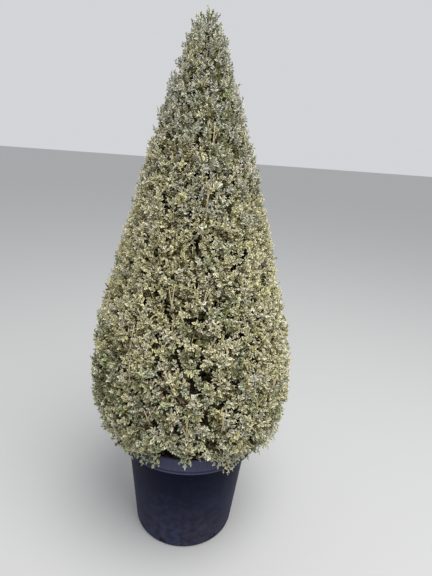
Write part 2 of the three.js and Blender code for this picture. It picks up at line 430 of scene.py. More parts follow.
def onSurface(azimuth, height, radius=None):
    radius = outlineRadius(height) if radius is None else radius
    place = middleAt(height)
    place[..., 0] += radius * np.cos(azimuth)
    place[..., 1] += radius * np.sin(azimuth)
    return place


def outwards(azimuth, rise=0.0):
    return np.stack([np.cos(azimuth), np.sin(azimuth), np.broadcast_to(rise, azimuth.shape)], axis=-1)


def riseAt(height):
    low, high = crown["rise"]
    return low + (high - low) * (height / tipHeight) ** 3


def unit(vectors):
    return vectors / np.maximum(np.linalg.norm(vectors, axis=-1, keepdims=True), 1e-9)


def branchLines():
    radius, height = outlineAt((np.arange(crown["branchCount"]) + 0.5) / crown["branchCount"])
    scale = np.ones(len(radius))
    for count, low, high, size in (crown["fringe"], crown["tuft"]):
        rows = np.linspace(low, high, count) / 1000
        radius = np.concatenate([radius, outlineRadius(rows)])
        height = np.concatenate([height, rows])
        scale = np.concatenate([scale, np.full(count, size)])
    azimuth = np.arange(len(radius)) * goldenAngle
    draw = seeded(crown["seed"])
    shift = np.array([[next(draw), next(draw)] for _ in radius]) - 0.5
    roots = middleAt(np.maximum(crown["lowestFork"], height - riseAt(height) * radius))
    tips = middleAt(height)
    tips[:, 0] += radius * np.cos(azimuth) + shift[:, 0] * crown["scatter"] * scale
    tips[:, 1] += radius * np.sin(azimuth) + shift[:, 1] * crown["scatter"] * scale
    tips -= unit(tips - roots) * (crown["tipDepth"] * scale)[:, None]
    return roots, tips


branchRoots, branchTips = branchLines()
chance = np.random.default_rng(4711)


# Shoots: tips spread evenly over the clipped surface, gathered into sprays

growth = {
    "sprays": 1080,
    "shoots": 11400,
    "crowding": 0.28,
    "cover": 0.9945,  # share of the surface below the loose tuft
    "gathering": ((0.55, 0.90), (0.24, 0.0)),  # by height, how far shoots draw together in their spray
    "jitter": 0.006,
    "sprayJitter": 0.006,
    "aimSpread": 0.22,
    "depth": ((0.6, 1.0), (0.012, 0.008)),  # by height, how far inside the outline shoot tips end
    "depthSpread": (-0.007, 0.012),
    "bumps": 0.005,
    "waves": [(5, 9), (11, -23)],  # how close the bumps follow each other, around and upwards
    "standBack": 0.006,  # how much further some sprays stand back
    "backShare": ((0.6, 1.3), (1, 0.4)),  # the same by height
    "backRange": (-1.2, 2.0),
    "longShare": 0.06,
    "longer": (0.004, 0.012),
    "towardsNormal": 0.6,
    "upward": 0.95,  # shoots turn up towards the light
    "upwardFrom": (0.47, 0.15),  # but the foot's shoots point outwards
    "forkDepth": 0.060,
    "forkShare": 0.72,  # of the crown's radius at most
    "vigour": (0.88, 1.12),
    "leafPairs": 4,
    "strayTint": 0.3,  # share of the leaf pairs with a tint of their own
    "ownTint": 0.5,  # shoots with their spray's tint, the others are dealt one
    "pairGap": 0.0077,
    "gapSpread": (0.85, 1.2),
    "pairSpread": (0.30, 0.62, 0.88, 1.08, 1.22, 1.3, 1.35),  # how far each pair opens, from the tip down
    "pairLength": (0.62, 0.9, 1.05, 1.0, 0.95, 0.9, 0.9),
    "uneven": {"spread": 0.18, "turn": 0.16, "tilt": 0.1, "facing": 0.65},
    "leafLength": 0.0138,
    "leafSize": ((0.5, 0.8, 1.1, 1.4, 1.7), (1.45, 1.14, 0.95, 0.84, 0.76)),  # by height
    "leafWidth": {"foot": 0.54, "low": 0.56, "middle": 0.58, "top": 0.55, "inside": 0.60},
    "lengthSpread": 0.3,
    "overhang": 0.012,
    "widest": 0.352,
    "highest": 1.765,
    "foot": 0.446,  # no leaf but the hanging ones reaches lower at the rim
    "footReach": 0.262,
    "footSlope": 0.68,  # and further out the underside rises this steeply
    # azimuth, half width in radians and depth: lower stretches, and higher ones that show rim and mix
    "footDips": [
        (-22, 0.55, 0.024), (-132, 0.19, 0.034), (-166, 0.28, -0.024),
        (-98, 0.12, -0.042), (-86, 0.07, -0.028),
    ],
    # azimuth in degrees, height, radius: dark gaps between the sprays
    "clearings": [
        (-81, 0.947, 0.016), (-87, 0.916, 0.014), (-94, 0.716, 0.015), (-82, 0.774, 0.013),
        (-70, 0.629, 0.016), (-108, 0.853, 0.013), (-98, 0.500, 0.022), (-84, 0.500, 0.022),
        (-112, 0.560, 0.010), (-62, 0.545, 0.014), (-54, 0.600, 0.008), (-76, 0.545, 0.008),
        (-124, 0.640, 0.008), (-59, 0.690, 0.008), (-104, 0.700, 0.010), (-128, 0.505, 0.010),
        (-76, 0.622, 0.012), (-72, 0.629, 0.010), (-68, 0.638, 0.009),
    ],
    "moreClearings": 7,
    "clearingSize": (0.007, 0.012),
    # azimuth, height, size and share of bare shoots: thinner stretches low down
    "bare": [
        (-99, 0.77, 0.11, 0.30), (-84, 0.63, 0.12, 0.36), (-108, 0.57, 0.10, 0.30), (-68, 0.60, 0.10, 0.34),
        (-93, 0.92, 0.08, 0.28), (-64, 0.84, 0.07, 0.22), (75, 0.62, 0.16, 0.30), (170, 0.70, 0.16, 0.28),
    ],
    "bareEverywhere": 0.05,
    # azimuth and height of the leafless forks seen from the front
    "straw": [
        (-75, 1.395), (-93, 0.925), (-63, 0.845), (-72, 0.755), (-97, 0.745),
        (-108, 0.630), (-70, 0.615), (-56, 0.740), (-82, 0.970), (-103, 0.830),
        (-88, 0.590), (-44, 0.735), (-38, 0.690), (-50, 0.660), (-122, 0.850),
    ],
    "moreStraw": 34,
    "strawLength": (0.025, 0.058),
    "strawLean": (-0.5, 0.5),
    "strawLift": (-0.006, 0.002),
    "strawInFront": 0.007,  # how far the seen ones stand out further
    # azimuth and lowest point of shoots that hang over the pot's rim
    "hanging": [
        (-58, 0.385), (-50, 0.414), (-66, 0.422), (-88, 0.431), (-109, 0.414),
        (-118, 0.408), (-126, 0.412), (-134, 0.408), (-142, 0.414), (-28, 0.420),
    ],
    "moreHanging": 9,
    "moreLowest": (0.410, 0.436),
    "hangingArch": ((0.238, 0.472), (0.292, 0.478), 0.277),  # reach and height at start and bend, end's reach
    "hangingFan": [(0, 0), (0.016, 0.012), (-0.018, 0.016)],  # sideways and shorter
    "hangingLeaves": (7, 1.05, True, 1.15),  # pairs, size, free of the outline, and stretch
    "droopingTint": 0.5,  # height whose tints they and the skirt get
    # azimuth, reach and lowest point of shoots that droop off the foot
    "skirt": [
        (-56, 0.298, 0.438), (-47, 0.306, 0.436), (-38, 0.312, 0.438), (-29, 0.318, 0.430),
        (-19, 0.322, 0.432), (-8, 0.325, 0.436), (4, 0.322, 0.438), (150, 0.318, 0.440),
        (200, 0.312, 0.436), (80, 0.315, 0.440),
    ],
    "skirtStart": (0.05, 0.49),  # further in than the tip, and the height
    # sideways, higher and inwards
    "skirtFan": [(0, 0, 0), (0.013, 0.012, 0.010), (-0.014, 0.009, 0.012), (0.024, 0.020, -0.004)],
    "skirtLeaves": (7, 0.9, True, 1.1),
    # azimuth in degrees, radius and height of the free shoots at the tip
    "apex": [
        (-87, 0.010, 1.7445), (-130, 0.037, 1.716), (-38, 0.031, 1.727), (-154, 0.052, 1.668),
        (70, 0.030, 1.712), (165, 0.034, 1.700), (15, 0.046, 1.680), (-100, 0.044, 1.676),
        (120, 0.050, 1.668), (180, 0.032, 1.728), (-165, 0.044, 1.709), (150, 0.042, 1.712),
        (-12, 0.034, 1.728), (20, 0.040, 1.712), (90, 0.034, 1.722), (-60, 0.030, 1.732),
    ],
    "apexShoots": (22, 1.672, 1.738),  # more of them: count, lowest and highest
    "apexReach": (0.62, 0.95),
    "apexRise": 2.2,
    "apexLength": 0.055,
    "apexLeaves": (5, 0.76, True),
    "apexTint": 1.6,
    "potClear": (0.4425, 0.2655),  # height or reach that keeps off the rim
}


def surfaceNormal(azimuth, height):
    step = 0.01
    below = np.maximum(height - step, crown["lowest"])
    slope = (outlineRadius(height + step) - outlineRadius(below)) / (2 * step)
    return unit(outwards(azimuth, -np.clip(slope, -crown["steepest"], crown["steepest"])))


def growthDirection(azimuth, height, normal):
    turned = unit(unit(outwards(azimuth, riseAt(height))) + growth["towardsNormal"] * normal)
    turned[:, 2] += growth["upward"] * ramp(height, *growth["upwardFrom"])
    return unit(turned)


def clearsPot(points):
    level, reach = growth["potClear"]
    return (points[..., 2] > level) | (np.hypot(points[..., 0], points[..., 1]) > reach)


def aboveFoot(points):  # the crown's underside rises outwards from the rim
    across, deep = fromMiddle(points)
    foot = growth["foot"]
    for azimuth, width, dip in growth["footDips"]:
        away = np.arctan2(deep, across) - math.radians(azimuth)
        away = np.arctan2(np.sin(away), np.cos(away))
        foot = foot - dip * np.exp(-((away / width) ** 2))
    further = np.maximum(0, np.hypot(across, deep) - growth["footReach"])
    return points[..., 2] > foot + growth["footSlope"] * further


def fits(points):
    return clearsPot(points) & aboveFoot(points)


def spiral(count, cover, turned, crowding=0.0):  # crowding: more of them towards the tip
    index = np.arange(count)
    share = (index + 0.5) / count
    radius, height = outlineAt((share + crowding * share * (1 - share)) * cover)
    return index * goldenAngle + turned, radius, height


def nearest(points, places):
    return np.array([np.argmin(((places - point) ** 2).sum(axis=1)) for point in points])


def nearness(place, azimuth, height, size):  # 1 at a spot on the surface, fading over its size
    spot = onSurface(math.radians(azimuth), height)
    return np.exp(-((np.linalg.norm(place - spot, axis=1) / size) ** 2))


def sprayTable():
    azimuth, radius, height = spiral(growth["sprays"], growth["cover"], turned=0.7)
    count = len(azimuth)
    azimuth = azimuth + chance.normal(0, growth["sprayJitter"], count) / np.maximum(radius, 0.03)
    normal = surfaceNormal(azimuth, height)
    direction = growthDirection(azimuth, height, normal)
    direction = unit(direction + chance.normal(0, growth["aimSpread"], direction.shape))
    waves = sum(np.sin(around * azimuth + up * height) for around, up in growth["waves"])
    bumps = growth["bumps"] * (waves + chance.normal(0, 0.8, count)) / 1.6
    back = np.clip(chance.normal(0, 1, count), *growth["backRange"]) * byHeight(height, growth["backShare"])
    depth = byHeight(height, growth["depth"]) + bumps + growth["standBack"] * back
    centre = onSurface(azimuth, height, radius)
    room = growth["forkShare"] * radius / np.hypot(direction[:, 0], direction[:, 1])
    stalk = np.minimum(growth["forkDepth"], room)
    fork = centre - normal * depth[:, None] - direction * stalk[:, None]
    return azimuth, height, direction, depth, back, centre, fork


sprayAzimuth, sprayHeight, sprayAim, sprayDepth, sprayBack, sprayCentre, sprayFork = sprayTable()


def clearingTable():
    rows = [(math.radians(azimuth), height, size) for azimuth, height, size in growth["clearings"]]
    azimuth, _, height = spiral(growth["moreClearings"], 0.93, turned=2.1)
    rows += zip(azimuth, height, chance.uniform(*growth["clearingSize"], len(azimuth)))
    return np.array([onSurface(a, h) for a, h, _ in rows]), np.array([size for _, _, size in rows])


def shootTable():
    azimuth, radius, height = spiral(growth["shoots"], growth["cover"], 0.0, growth["crowding"])
    surface = onSurface(azimuth, height, radius)
    surface = surface + chance.normal(0, growth["jitter"], surface.shape)
    owner = nearest(surface, sprayCentre)
    places, sizes = clearingTable()
    cleared = (np.linalg.norm(surface[:, None] - places[None], axis=2) < sizes[None]).any(axis=1)
    depth = sprayDepth[owner] + chance.uniform(*growth["depthSpread"], len(surface))
    long = chance.random(len(surface)) < growth["longShare"]
    depth[long] -= chance.uniform(*growth["longer"], long.sum())
    gathering = byHeight(height, growth["gathering"])[:, None]
    tip = surface + (sprayCentre[owner] - surface) * gathering
    tip = tip - surfaceNormal(azimuth, height) * depth[:, None]
    return tip[~cleared], owner[~cleared]


shootTip, shootOwner = shootTable()


def arched(start, bend, tip, steps):
    share = np.linspace(0, 1, steps)[:, None, None]
    return (1 - share) ** 2 * start + 2 * share * (1 - share) * bend + share**2 * tip


def bowed(start, tip, aim, steps):  # points of a soft bow that leaves start along aim
    reach = np.linalg.norm(tip - start, axis=-1, keepdims=True)
    return arched(start, start + aim * reach * 0.5, tip, steps)


# Tints are dealt out by spray: the margin's colour and the middle's colour

tints = {
    "cream": ((222, 217, 186), (124, 122, 70)),
    "cool": ((207, 210, 188), (106, 114, 82)),
    "yellow": ((219, 213, 171), (136, 131, 72)),
    "pale": ((224, 220, 198), (158, 154, 112)),
    "shade": ((144, 141, 106), (64, 69, 40)),
    "bronze": ((206, 196, 162), (126, 116, 76)),
    "green": ((196, 202, 162), (88, 101, 58)),
    "silver": ((199, 198, 184), (116, 115, 96)),
}
tintShares = {
    # how often each tint is dealt, and what each kind of place adds or takes
    "everywhere": [0.30, 0.12, 0.25, 0.13, 0.07, 0.03, 0.10, 0.00],
    "foot": [-0.04, 0.16, -0.08, 0.10, 0.15, 0.05, 0.16, 0.12],
    "top": [-0.18, 0.14, -0.21, -0.06, 0, 0, -0.06, 0.90],
    # painted light and painted shade: lighter or darker tints dealt in patches
    "paintedLight": [0, -0.14, 0.40, 0.22, -0.07, 0, -0.10, 0],
    "paintedShade": [-0.14, 0, -0.08, -0.12, 0.46, 0, 0.12, 0],
    "back": [-0.06, 0, -0.04, -0.06, 0.18, 0.08, 0.04, 0],  # sprays that stand back get darker tints: painted shade in the hollows
}
tintPlaces = {
    "foot": (0.85, -0.3),  # height where it starts, and the height over which it grows
    "top": (1.12, 0.36),
    # azimuth, height and size of patches: painted light where lighter tints are dealt, painted shade where
    # darker ones are
    "paintedLight": [
        (-32, 0.70, 0.16), (-126, 0.62, 0.10), (-30, 0.95, 0.15), (-38, 1.15, 0.10),
        (-140, 1.34, 0.10), (-140, 1.22, 0.13), (-134, 1.08, 0.15), (-138, 0.95, 0.14),
        (-124, 0.84, 0.10), (140, 0.9, 0.14), (60, 0.6, 0.14),
    ],
    "paintedShade": [(-146, 0.72, 0.12), (-138, 0.61, 0.11), (110, 0.72, 0.12)],
}


def dealTints(azimuth, height, back=0.0):
    height, back = np.broadcast_to(height, azimuth.shape), np.broadcast_to(back, azimuth.shape)
    place = onSurface(azimuth, height)
    shares = [(kind, ramp(height, *tintPlaces[kind])) for kind in ("foot", "top")]
    # patches of painted light and painted shade
    for kind in ("paintedLight", "paintedShade"):
        shares += [(kind, nearness(place, *patch)) for patch in tintPlaces[kind]]
    weights = np.array(tintShares["everywhere"])
    for kind, share in shares + [("back", back)]:
        weights = weights + share[:, None] * tintShares[kind]
    totals = np.cumsum(np.maximum(weights, 0), axis=1)
    return (chance.random(len(azimuth))[:, None] * totals[:, -1:] > totals).sum(axis=1)


def freshTints(owner):
    return dealTints(sprayAzimuth[owner], sprayHeight[owner], sprayBack[owner])


sprayTint = dealTints(sprayAzimuth, sprayHeight, sprayBack)
shootTint = np.where(
    chance.random(len(shootOwner)) < growth["ownTint"], sprayTint[shootOwner], freshTints(shootOwner)
)

twigs = {
    # thickness at the foot and at the tip, and 0 green, 1 straw-coloured or 2 brown
    "leafy": (0.0011, 0.0006, 0),
    "hanging": (0.0012, 0.0006, 0),
    "apex": (0.0015, 0.0007, 0),
    "bare": (0.0017, 0.0010, 1),
    "straw": (0.0019, 0.0011, 1),
    "joining": (0.0022, 0.0014, 2),
}
twigGroups, leafRows = [], []


def addTwigs(kind, lines):  # lines: steps, count, 3
    twigGroups.append((lines, *twigs[kind]))


def addLeaves(lines, tint, pairs, size=1.0, free=False, stretch=1.0):  # free: not clipped
    count, uneven = lines.shape[1], growth["uneven"]
    tip = lines[-1]
    aim, backAim = unit(tip - lines[-2]), unit(tip - lines[-3])
    across = unit(np.cross(aim, np.array([0.02, 0.01, 1.0])))
    third = np.cross(aim, across)
    turn = chance.uniform(0, math.pi, count)
    gap = growth["pairGap"] * chance.uniform(*growth["gapSpread"], count) * size * stretch
    tint = np.broadcast_to(tint, (pairs, count))
    for pair in range(pairs):
        joint = tip - backAim * (gap * (pair + 0.15))[:, None]
        spread = growth["pairSpread"][pair] + chance.normal(0, uneven["spread"], count)
        for half in (0, 1):
            angle = turn + pair * math.pi / 2 + half * math.pi + chance.normal(0, uneven["turn"], count)
            side = np.cos(angle)[:, None] * across + np.sin(angle)[:, None] * third
            tilt = spread + chance.normal(0, uneven["tilt"], count)
            out = np.cos(tilt)[:, None] * aim + np.sin(tilt)[:, None] * side
            facing = unit(aim + np.array([0, 0, 0.3]) + chance.normal(0, uneven["facing"], (count, 3)))
            odd = 1 + growth["lengthSpread"] * chance.uniform(-0.5, 0.5, count)
            length = growth["leafLength"] * growth["pairLength"][pair] * size * odd
            leafRows.append((joint, out, facing, length, tint[pair], np.full(count, free)))


sprayShoots = bowed(sprayFork[shootOwner], shootTip, sprayAim[shootOwner], 3)
sprayFits = fits(sprayFork)
clear = fits(sprayShoots[1:]).all(axis=0) & sprayFits[shootOwner]
sprayShoots, shootOwner, shootTint = sprayShoots[:, clear], shootOwner[clear], shootTint[clear]


def addSprays():
    bareShare = np.full(len(shootOwner), growth["bareEverywhere"])
    for *patch, share in growth["bare"]:
        bareShare = np.maximum(bareShare, share * nearness(sprayShoots[-1], *patch))
    leafy = chance.random(len(shootOwner)) >= bareShare
    addTwigs("leafy", sprayShoots[:, leafy])
    addTwigs("bare", sprayShoots[:, ~leafy])
    vigour = chance.uniform(*growth["vigour"], growth["sprays"])
    owner = shootOwner[leafy]
    tint = [
        np.where(chance.random(len(owner)) < growth["strayTint"], freshTints(owner), shootTint[leafy])
        for _ in range(growth["leafPairs"])
    ]
    size = (vigour * byHeight(sprayHeight, growth["leafSize"]))[owner]
    addLeaves(sprayShoots[:, leafy], tint, growth["leafPairs"], size)


def addStraw():  # leafless forks, here and there close under the surface
    azimuth, _, height = spiral(growth["moreStraw"], 0.93, turned=4.4)
    seenAzimuth, seenHeight = np.array(growth["straw"]).T
    azimuth = np.concatenate([np.radians(seenAzimuth), azimuth])
    height = np.concatenate([seenHeight, height])
    count = len(azimuth)
    normal = surfaceNormal(azimuth, height)
    foot = onSurface(azimuth, height) - normal * 0.003
    inFront = (np.arange(count) < len(seenAzimuth)) * growth["strawInFront"]
    for _ in range(2):  # the two arms of each fork
        lean = chance.uniform(*growth["strawLean"], count)
        reach = chance.uniform(*growth["strawLength"], count)
        lift = chance.uniform(*growth["strawLift"], count) + inFront
        level = height + reach * np.cos(lean)
        turned = azimuth + reach * np.sin(lean) / outlineRadius(height)
        tip = onSurface(turned, level, outlineRadius(level) + lift)
        rising = unit(tip - foot + 0.25 * reach[:, None] * normal)
        lines = bowed(foot - 0.02 * rising, tip, rising, 4)
        addTwigs("straw", lines[:, aboveFoot(lines).all(axis=0)])


def fromAxis(out, reach, height, sideways=0.0):
    points = out * reach + np.cross([0, 0, 1], out) * sideways
    points[:, 2] = height
    return points


def addDrooping(lines, azimuth, leaves):
    addTwigs("hanging", lines)
    addLeaves(lines, dealTints(azimuth, growth["droopingTint"]), *leaves)


def addHanging():
    azimuth, _, _ = spiral(growth["moreHanging"], 0.9, turned=1.3)
    rows = [(math.radians(a), lowest) for a, lowest in growth["hanging"]]
    more = zip(azimuth, chance.uniform(*growth["moreLowest"], len(azimuth)))
    rows += [(a, lowest) for a, lowest in more if math.sin(a) > -0.3]  # only where none is given
    azimuth, lowest = np.array(rows).T
    start, bend, endReach = growth["hangingArch"]
    out = outwards(azimuth)
    for sideways, shorter in growth["hangingFan"]:
        middle = fromAxis(out, *bend, sideways * 0.6)
        end = fromAxis(out, endReach, lowest + shorter, sideways)
        lines = arched(fromAxis(out, *start), middle, end, 6)
        addDrooping(lines, azimuth, growth["hangingLeaves"])


def addSkirt():
    azimuth, reach, lowest = np.array(growth["skirt"]).T
    azimuth, reach = np.radians(azimuth), reach[:, None]
    further, startHeight = growth["skirtStart"]
    out = outwards(azimuth)
    start = fromAxis(out, reach - further, startHeight)
    for sideways, higher, inwards in growth["skirtFan"]:
        tip = fromAxis(out, reach - inwards, lowest + higher, sideways)
        addDrooping(bowed(start, tip, out, 6), azimuth, growth["skirtLeaves"])


def addTuft():
    azimuth, radius, height = np.array(growth["apex"]).T
    count, low, high = growth["apexShoots"]
    more = np.linspace(low, high, count)
    azimuth = np.concatenate([np.radians(azimuth), np.arange(count) * goldenAngle + 0.9])
    radius = np.concatenate([radius, outlineRadius(more) * chance.uniform(*growth["apexReach"], count)])
    height = np.concatenate([height, more])
    start, tip = middleAt(height - growth["apexLength"]), onSurface(azimuth, height, radius)
    lines = bowed(start, tip, unit(outwards(azimuth, growth["apexRise"])), 6)
    addTwigs("apex", lines)
    addLeaves(lines, dealTints(azimuth, growth["apexTint"]), *growth["apexLeaves"])


for addKind in (addSprays, addStraw, addHanging, addSkirt, addTuft):
    addKind()


# Boughs: the leader, the source's branches and the twigs that join each spray to its branch


def boughLines():
    reach = np.linalg.norm(branchTips - branchRoots, axis=1)[:, None]
    bend = branchRoots + (branchTips - branchRoots) * 0.5 + np.array([0, 0, -crown["sag"]]) * reach
    bend = bend + chance.normal(0, crown["crook"] / 4, bend.shape) * reach * 4
    lines = arched(branchRoots, bend, branchTips, 8)
    lines[..., 2] = np.maximum(lines[..., 2], crown["lowestBough"])
    return lines


def alongLines(lines, owner, share):  # the points at these shares of their lines, and the steps there
    place = share * (len(lines) - 1)
    step = np.minimum(place.astype(int), len(lines) - 2)
    rest = (place - step)[:, None]
    start, end = lines[step, owner], lines[step + 1, owner]
    return start * (1 - rest) + end * rest, end - start


def joiningTwigs():
    host = nearest(sprayFork, branchTips)
    length = np.linalg.norm(branchTips[host] - branchRoots[host], axis=1)
    share = np.clip(1 - chance.uniform(*crown["joinBehind"], len(host)) / length, *crown["joinRange"])
    start, _ = alongLines(boughs, host, share)
    lines = bowed(start, sprayFork, unit(sprayFork - start + sprayAim * 0.02), 5)
    return lines[:, sprayFits & aboveFoot(lines).all(axis=0)]


def leaderPoints():  # carries the stem's line on to the tip
    height = np.linspace(*crown["leader"], crown["leaderPoints"])
    line = middleAt(height)
    line[:, :2] += np.outer(1 - ramp(height, crown["stemTop"], 0.2), crown["stemLean"])
    line[1:-1, :2] += chance.normal(0, 0.0025, (len(line) - 2, 2))
    return line


boughs = boughLines()
twigLines = joiningTwigs()
leaderLine = leaderPoints()
print("growth worked out:", len(shootOwner), "shoots")


def tubeMesh(name, groups):  # groups: lines, thickness at the foot and at the tip, kind
    points, edges, thickness, kinds = [], [], [], []
    start = 0
    for lines, thick, thin, kind in groups:
        steps, count, _ = lines.shape
        points.append(lines.transpose(1, 0, 2).reshape(-1, 3))
        taper = np.linspace(0, 1, steps)
        thick = np.broadcast_to(thick, count)[:, None]
        thickness.append((thick * (1 - taper) + thin * taper).ravel())
        kinds.append(np.full(steps * count, kind))
        first = (start + np.arange(count)[:, None] * steps + np.arange(steps - 1)).ravel()
        edges.append(np.stack([first, first + 1], axis=1))
        start += steps * count
    points, edges, thickness, kinds = (np.concatenate(rows) for rows in (points, edges, thickness, kinds))
    return pointMesh(name, points, edges, thickness=thickness, kind=kinds)


def tubeTree(name, materials):
    graph, entry = newTree(name, {"Corners": "Int"})
    curve = graph.add("GeometryNodeMeshToCurve", {}, {"Mesh": entry.other("Geometry")})
    sockets = {"Resolution": entry.other("Corners"), "Radius": 1.0}
    ring = graph.add("GeometryNodeCurvePrimitiveCircle", {}, sockets)
    thickness = graph.attribute("thickness", "FLOAT")
    sockets = {"Curve": curve, "Profile Curve": ring, "Scale": thickness, "Fill Caps": True}
    tube = graph.add("GeometryNodeCurveToMesh", {}, sockets)
    tube = graph.add("GeometryNodeSetShadeSmooth", {}, {"Geometry": tube})
    tube = graph.add("GeometryNodeRealizeInstances", {}, {"Geometry": tube})
    return graph.finished(tube, graph.attribute("kind", "INT"), materials)


bark = {
    "limb": (116, 104, 82),
    "limbDark": (70, 62, 48),
    "stem": (138, 124, 98),
    "stemDark": (84, 74, 58),
    "straw": (200, 184, 146),
    "green": (120, 118, 70),
    "twig": (112, 98, 72),
    "furrows": 70,
    "furrowLength": 0.25,
    "relief": 0.0008,
    "boughCorners": 8,
    "twigCorners": 3,
}


def limbMaterial(name, light, dark):
    material, graph, shader = newMaterial(name, 0.85)
    place = objectPlace(graph)
    streaks = graph.noise(graph.stretched(place, bark["furrowLength"]), bark["furrows"], 5.0, 0.6)
    patches = graph.noise(place, 18)
    colour = graph.mix(graph.spread(streaks * 0.7 + patches * 0.3, 0.35, 0.65), linear(*dark), linear(*light))
    finishSurface(graph, shader, colour, 0.75 + 0.2 * streaks, streaks, bark["relief"], 0.6)
    return material


def makeTubes(name, groups, materials, corners):
    tree = tubeTree(name + "Tubes", materials)
    piece = grown(name, tubeMesh(name, groups), tree, {"Corners": corners})
    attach(piece, "root")
    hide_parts("cone_foliage")


def makeBoughs():
    thickness = byHeight(branchTips[:, 2], crown["boughThickness"])
    groups = [(boughs, thickness, crown["boughEnd"], 0), (leaderLine[:, None], *crown["leaderThickness"], 0)]
    materials = [limbMaterial("limbBark", bark["limb"], bark["limbDark"])]
    makeTubes("boughs", groups, materials, bark["boughCorners"])


def makeTwigs():
    materials = [
        plainMaterial("greenShoot", 0.6, bark["green"]),
        plainMaterial("strawShoot", 0.7, bark["straw"]),
        plainMaterial("brownTwig", 0.8, bark["twig"]),
    ]
    groups = [(twigLines, *twigs["joining"])] + twigGroups
    makeTubes("twigs", groups, materials, bark["twigCorners"])


makeBoughs()
makeTwigs()
print("boughs and twigs made")


# Leaves: one small template with a variegated margin, set on every joint

leafShape = {
    # across, along, raised: a rounded oval with raised edges and a nodding tip
    "corners": [
        (0.0, 0.0, 0.0), (-0.40, 0.24, 0.12), (-0.50, 0.58, 0.13), (0.0, 1.0, -0.09),
        (0.50, 0.58, 0.13), (0.40, 0.24, 0.12), (-0.24, 0.66, 0.04), (0.24, 0.66, 0.04),
    ],
    "middle": [(0, 7, 6)],
    "margin": [(0, 6, 1), (1, 6, 2), (2, 6, 3), (3, 6, 7), (3, 7, 4), (4, 7, 5), (5, 7, 0)],
    "plain": [(0, 5, 4), (0, 4, 3), (0, 3, 2), (0, 2, 1)],  # faces of the inner leaves
    "roughness": 0.5,
    "gloss": {"Specular IOR Level": 0.35},
}

# older, darker leaves further in, which close the view through the crown
inside = {
    # leaves for each twig, shoot or bough, and the shares of its length between which they stand
    "onTwigs": (12, 0.0, 1.0),
    "onShoots": (2.7, 0.1, 0.75),
    "onBoughs": (75, 0.35, 1.0),
    "length": (0.014, 0.020),
    "longerOnBoughs": 1.5,
    "depth": ((0.8, 1.2), (0.013, 0.009)),  # by height, how far inside the clipped surface they stay
    "highest": 1.655,
    "dryShare": ((0.48, 0.54, 1.1, 1.4), (0.50, 0.28, 0.10, 0.0)),  # by height
    "paintedLightFrom": (0.8, 0.5),
    "shade": (109, 106, 60),
    "dry": (110, 87, 67),
    "light": (140, 135, 90),  # nearer the top: painted light on the inner leaves
}


def makeLeafTemplate(faces, rims):
    mesh = bpy.data.meshes.new("leafTemplate")
    mesh.from_pydata(leafShape["corners"], [], faces)
    rim = mesh.attributes.new("rim", "INT", "FACE")
    rim.data.foreach_set("value", rims)
    return addObject("leafTemplate", mesh)


def leafTree(materials, parts):
    graph, entry = newTree("leafSprays", {"Leaf": "Object", "Leaf Width": "Float"})
    aim, facing = graph.attribute("aim", "FLOAT_VECTOR"), graph.attribute("facing", "FLOAT_VECTOR")
    turn = graph.add("FunctionNodeAlignRotationToVector", {"axis": "Y"}, {"Vector": aim})
    settings = {"axis": "Z", "pivot_axis": "Y"}
    turn = graph.add("FunctionNodeAlignRotationToVector", settings, {"Rotation": turn, "Vector": facing})
    size = graph.attribute("size", "FLOAT")
    sockets = {"X": size * entry.other("Leaf Width"), "Y": size, "Z": size}
    scale = graph.add("ShaderNodeCombineXYZ", {}, sockets)
    leaves = graph.instanced(entry.other("Geometry"), entry.other("Leaf"), turn, scale)
    code = graph.attribute("tint", "INT") * parts + graph.attribute("rim", "INT")
    return graph.finished(leaves, code, materials)


def fittingLeaves():
    joint, out, facing, length, tint, free = (np.concatenate(column) for column in zip(*leafRows))
    out = unit(out)
    tip = joint + out * length[:, None]
    reach = np.hypot(*fromMiddle(tip))
    clipped = (outlineRadius(tip[:, 2]) + growth["overhang"] - reach > 0) & aboveFoot(tip)
    keep = (clipped | free) & (reach < growth["widest"]) & (tip[:, 2] < growth["highest"])
    keep &= clearsPot(joint) & clearsPot(tip) & clearsPot((tip + joint) / 2)
    return [column[keep] for column in (joint, out, facing, length, tint)]


def innerLeaves():
    joints, aims = [], []
    for lines, kind in ((twigLines, "onTwigs"), (sprayShoots, "onShoots"), (boughs, "onBoughs")):
        count, low, high = inside[kind]
        lineCount = lines.shape[1]
        owner = np.sort(chance.integers(0, lineCount, int(lineCount * count)))
        joint, aim = alongLines(lines, owner, chance.uniform(low, high, len(owner)))
        joints.append(joint)
        aims.append(unit(unit(aim) * 0.4 + unit(chance.normal(0, 1, joint.shape))))
    joint, aim = np.concatenate(joints), np.concatenate(aims)
    facing = unit(chance.normal(0, 0.8, joint.shape) + np.array([0, 0, 0.6]))
    size = chance.uniform(*inside["length"], len(joint))
    size[-len(joints[-1]) :] *= inside["longerOnBoughs"]
    tip = joint + aim * size[:, None]
    height = tip[:, 2]
    room = outlineRadius(height) - byHeight(height, inside["depth"])
    keep = fits(joint) & fits(tip) & (np.hypot(*fromMiddle(tip)) < room) & (height < inside["highest"])
    kind = (chance.random(len(joint)) < byHeight(height, inside["dryShare"])).astype(int)
    # higher up, more inner leaves take the lighter colour: painted light
    light = chance.random(len(joint)) < ramp(height, *inside["paintedLightFrom"])
    kind[light & (kind == 0)] = 2
    return [column[keep] for column in (joint, aim, facing, size, kind)]


def makeLeafPiece(name, table, tree, template):
    joint, aim, facing, size, tint = table
    points = pointMesh(name, joint, aim=aim, facing=facing, size=size, tint=tint)
    width = growth["leafWidth"][name.removeprefix("leaves_")]
    piece = grown(name, points, tree, {"Leaf": template, "Leaf Width": width})
    print(name, len(joint), "leaves,", len(piece.data.polygons), "faces")
    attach(piece, "root")
    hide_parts("cone_foliage")


